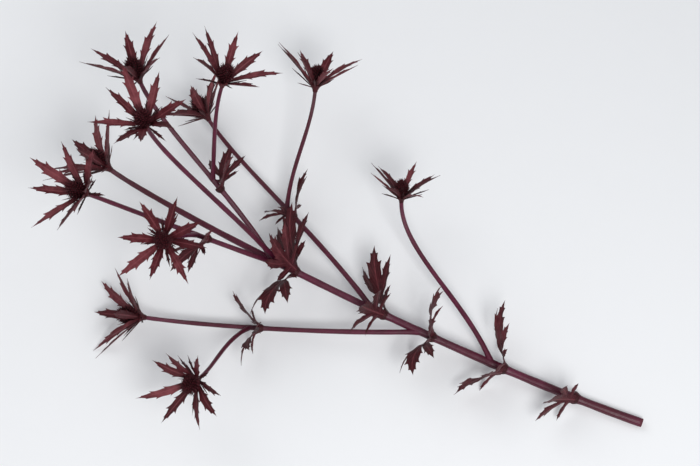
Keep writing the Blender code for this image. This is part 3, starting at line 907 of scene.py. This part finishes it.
def ruff_piece(name, bloom, finish):
    """Receptacle, large toothed bracts, narrow bracts and bristle bracts of one bloom."""
    draw = random.Random(RUFF_SEED + bloom.seed)
    surface = Surface()
    size = bloom.size
    down = -size * RECEPTACLE_DEPTH
    outline = [(radius * size, down * part + past) for radius, part, past in RECEPTACLE_OUTLINE]
    turned_surface(surface, bloom.base, bloom.axis, outline, around=30, tone=0.15, ribs=10, depth=0.05)
    for blade in bloom.large:
        blade.minor = ((0.22, draw.uniform(0.1, 0.45)), (0.85, draw.uniform(0.15, 0.5)))
        tone = draw.uniform(0.2, 1.0)
        blade_surface(surface, blade, tone, trough=draw.uniform(0.20, 0.46), ripple=0.05)
    for blade in bloom.small:
        blade_surface(surface, blade, draw.uniform(-0.6, 0.1), even=9, columns=7, trough=0.35)
    for number in range(SPINES):
        spine = spine_blade(bloom, draw, 360 * number / SPINES)
        blade_surface(surface, spine, draw.uniform(-0.5, 0.2), even=8, columns=5, trough=0.3)
    return surface.make(name, finish)


def spine_blade(bloom, draw, degrees):
    """A bristle bract that stands up close round the cone."""
    outward = bloom.outward(degrees + draw.uniform(-12, 12))
    lift = draw.uniform(22, 66)
    return Blade(
        bloom.root(outward, SPINE_ROOT_RADIUS, SPINE_ROOT_DEPTH), outward, bloom.axis,
        bloom.size * draw.uniform(*SPINE_LENGTHS), bloom.size * SPINE_WIDTH, (lift, lift + 9),
        draw.uniform(-0.06, 0.06), 0.0, (), 0.0,
    )


def cone_piece(name, bloom, finish):
    """A dense egg of florets: spindles on a golden-angle spiral over a core, each with thin bristles.

    Spindle k of n sits at height z = 1 - 2 (k + 1/2) / n on the unit egg and turns by 137.5 degrees
    a step. The egg narrows upwards as 1 - 0.16 z."""
    draw = np.random.default_rng(CONE_SEED + bloom.seed)
    surface = Surface()
    size = bloom.size
    core = size * (CONE_RADIUS - CONE_SPIKE)
    half = size * (CONE_HEIGHT / 2 - CONE_SPIKE)
    middle = bloom.base + bloom.axis * (size * (CONE_LIFT + CONE_HEIGHT / 2))
    rows = np.linspace(-np.pi / 2, np.pi / 2, 15)[1:-1]
    widths = core * np.cos(rows) * (1 - CONE_NARROWING * np.sin(rows))
    outline = np.stack([widths, half * np.sin(rows)], axis=1)
    turned_surface(surface, middle, bloom.axis, outline, around=20, tone=0.0)
    k = np.arange(FLORETS)
    z = 1 - 2 * (k + 0.5) / FLORETS
    around = k * GOLDEN_ANGLE
    ring = np.sqrt(1 - z**2)
    out = bloom.first * (ring * np.cos(around))[:, None] + bloom.second * (ring * np.sin(around))[:, None]
    way = unit(out + bloom.axis * (z * 0.75 + 0.30)[:, None])
    way = unit(way + draw.normal(0, 0.07, (FLORETS, 3)))
    foot = middle + out * (core * (1 - CONE_NARROWING * z))[:, None] * FLORET_SINK
    foot = foot + bloom.axis * (half * z * FLORET_SINK)[:, None]
    lengths = size * draw.uniform(*FLORET_LENGTHS, FLORETS)
    spikes = [(foot, way, lengths, size * FLORET_RADIUS, FLORET_BELLY, 6)]
    for _ in range(BRISTLES):
        aside = unit(np.cross(way, draw.normal(0, 1, (FLORETS, 3))))
        lean = unit(way + aside * draw.uniform(0.15, 0.5, (FLORETS, 1)))
        start = foot + aside * (size * BRISTLE_OFFSET)
        lengths = size * draw.uniform(*BRISTLE_LENGTHS, FLORETS)
        spikes.append((start, lean, lengths, size * BRISTLE_RADIUS, BRISTLE_BELLY, 3))
    for start, way, lengths, radius, belly, sides in spikes:
        spindles(surface, start, way, lengths, radius, belly, draw.uniform(0, 1, FLORETS), sides)
    return surface.make(name, finish, smooth_angle=60)


def knots_of(stalk):
    """Shares of a stalk's length where it thickens, and how much: under its whorls and at its forks."""
    knots = [(spec[1], 1.0) for spec in WHORLS.values() if spec[0] == stalk]
    return knots + [(spec[1], FORK_KNOT) for spec in STALKS.values() if spec[0] == stalk]


def stem_piece(curves, radii, finish):
    """Every stalk as a ribbed tapering tube: radius = taper (1 + knots + flare + unevenness) (1 + ribs).

    Each knot is a bell exp(-(distance / length)^2), the flare is half of one at the stalk's foot, and
    the unevenness is two slow sines. The ribs are cos(8 a), and wander a little along the stalk."""
    surface = Surface()
    for number, (name, handles) in enumerate(curves.items()):
        main = name == "top"
        reach = np.linalg.norm(handles[3] - handles[0])
        share = np.linspace(0, 1, max(FEWEST_ROWS, int(reach / ROW_SPACING)))
        point, tangent = bezier(handles, share)
        first, last = radii[name]
        taper = first + (last - first) * share
        knot = np.zeros_like(share)
        for at, part in knots_of(name):
            knot += part * np.exp(-(((share - at) * reach / KNOT_LENGTH) ** 2))
        flare = 0.0 if main else FLARE_SWELL * np.exp(-((share * reach / FLARE_LENGTH) ** 2))
        along = share * reach
        uneven = 0.025 * np.sin(along * 95 + number * 2.1) + 0.018 * np.sin(along * 231 + number)
        a = np.linspace(0, 2 * np.pi, 32 if main else 24, endpoint=False)
        ribs = RIB_HEIGHT * np.cos(STALK_RIBS * a + 0.6 * np.sin(along[:, None] * 21 + number))
        radius = (taper * (1 + KNOT_SWELL * knot + flare + uneven))[:, None] * (1 + ribs)
        # The main stem's first row is left to the cut end.
        rows = slice(1 if main else 0, None)
        tube_surface(surface, point[rows], tangent[rows], radius[rows], (KNOT_TONE * knot)[rows, None])
    return surface.make("stalks", finish)


def cut_end_piece(curves, radii, finish):
    """The cut face of the stem: a shallow disc with a dished pith, just inside the rind."""
    point, tangent = bezier(curves["top"], 0.0)
    surface = Surface()
    outline = CUT_OUTLINE * (radii["top"][0] * CUT_RADIUS, 1)
    share = CUT_OUTLINE[:, 0]
    turned_surface(surface, point, tangent, outline, around=40, tone=0.0, ribs=9, depth=0.012, v=share)
    return surface.make("cut_end", finish)


def whorl_piece(name, curves, radii, finish):
    """A sheath round the stalk and its clasping leaves."""
    stalk, station, spins, length, seed = WHORLS[name]
    draw = random.Random(seed)
    fine_draw = random.Random(LEAF_SEED + seed)
    point, axis = bezier(curves[stalk], station)
    first, last = radii[stalk]
    rind = first + (last - first) * station
    inner = (rind + COLLAR_CLEARANCE) / math.cos(math.pi / COLLAR_SIDES)
    outer = inner + COLLAR_WALL
    surface = Surface()
    outline = [(rind * own + outer * collar, height) for own, collar, height in SHEATH_OUTLINE]
    turned_surface(surface, point, axis, outline, around=36, tone=0.05, ribs=9, depth=0.03, closed=True)
    level, _ = across(axis)
    for spin in spins:
        spin += draw.uniform(-10, 10)
        outward = turned(level, axis, spin)
        leaf = Leaf(point + outward * ((inner + outer) / 2), outward, axis, length, spin, draw)
        tone = fine_draw.uniform(0.1, 0.8)
        leaf.middle.minor = ((0.86, 0.55),)
        leaf.middle.claw, leaf.middle.rise = 0.66, 1.1
        blade_surface(surface, leaf.middle, tone, even=20, columns=11, trough=0.14, ripple=0.06)
        for lobe in leaf.lobes:
            lobe.minor = ((0.76, 0.6),)
            lobe.claw, lobe.rise = 0.72, 1.1
            lobe_tone = tone + fine_draw.uniform(-0.08, 0.08)
            blade_surface(surface, lobe, lobe_tone, even=20, trough=0.14, ripple=0.04)
    return surface.make(name.replace("whorl", "leaves"), finish)


# Floor, lamps, sky and camera.


def set_floor():
    """A pale matte square, with a very faint unevenness in its tint."""
    mesh = bpy.data.meshes.new("floor")
    side = FLOOR_HALF_SIDE
    corners = [(-side, -side, 0), (side, -side, 0), (side, side, 0), (-side, side, 0)]
    mesh.from_pydata(corners, [], [(0, 1, 2, 3)])
    f = Finish("pale_floor")
    colour = f.mix(f.noise(f.place(), 30.0) * 0.3, *FLOOR_TINTS)
    mesh.materials.append(f.finish(colour, 0.75))
    placed("floor", mesh)


def set_lights():
    """A wide soft lamp above, a weaker one from the front, and an even pale sky."""
    for name, (place, size, power) in LAMPS.items():
        lamp = bpy.data.lights.new(name, "AREA")
        lamp.shape, lamp.size, lamp.energy = "DISK", size, power
        made = placed(name, lamp)
        made.location = place
        made.rotation_euler = (-Vector(place)).to_track_quat("-Z", "Y").to_euler()
    world = bpy.data.worlds.new("pale_sky")
    world.use_nodes = True
    sky = world.node_tree.nodes["Background"].inputs
    sky["Color"].default_value, sky["Strength"].default_value = SKY_TINT, SKY_STRENGTH
    bpy.context.scene.world = world
    bpy.context.scene.view_settings.view_transform = "Standard"


def set_camera(azimuth, elevation, distance, aim, lens):
    """A camera that looks at aim; azimuth 0 looks along +Y, elevation is above the surface."""
    data = bpy.data.cameras.new("camera")
    data.lens = lens
    camera = placed("camera", data)
    az, el = math.radians(azimuth), math.radians(elevation)
    back = Vector((math.sin(az), -math.cos(az), 0)) * math.cos(el) + Vector((0, 0, math.sin(el)))
    camera.location = Vector(aim) + back * distance
    camera.rotation_euler = (-back).to_track_quat("-Z", "Y").to_euler()
    bpy.context.scene.camera = camera


def main():
    set_floor()
    set_lights()
    set_camera(azimuth=205, elevation=66, distance=1.75, aim=(0.018, -0.038, 0.05), lens=94)
    bract = blade_finish("bract_dye_and_shade", BRACT_DYE_AND_PAINTED_SHADE, veins=12.0, gloss=0.40)
    leaf = blade_finish("leaf_dye_and_shade", LEAF_DYE_AND_PAINTED_SHADE, veins=9.0, gloss=0.38)
    floret = floret_finish()
    blooms, curves, radii = grow()
    seat(stem_piece(curves, radii, stalk_finish()), "stem")
    cut = cut_end_piece(curves, radii, pith_finish())
    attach(cut, "root")
    for name in WHORLS:
        seat(whorl_piece(name, curves, radii, leaf), name)
    for name, bloom in blooms.items():
        seat(ruff_piece("bracts_" + name, bloom, bract), "ruff_" + name)
        seat(cone_piece("florets_" + name, bloom, floret), "cone_" + name)


main()
bpy.context.view_layer.update()
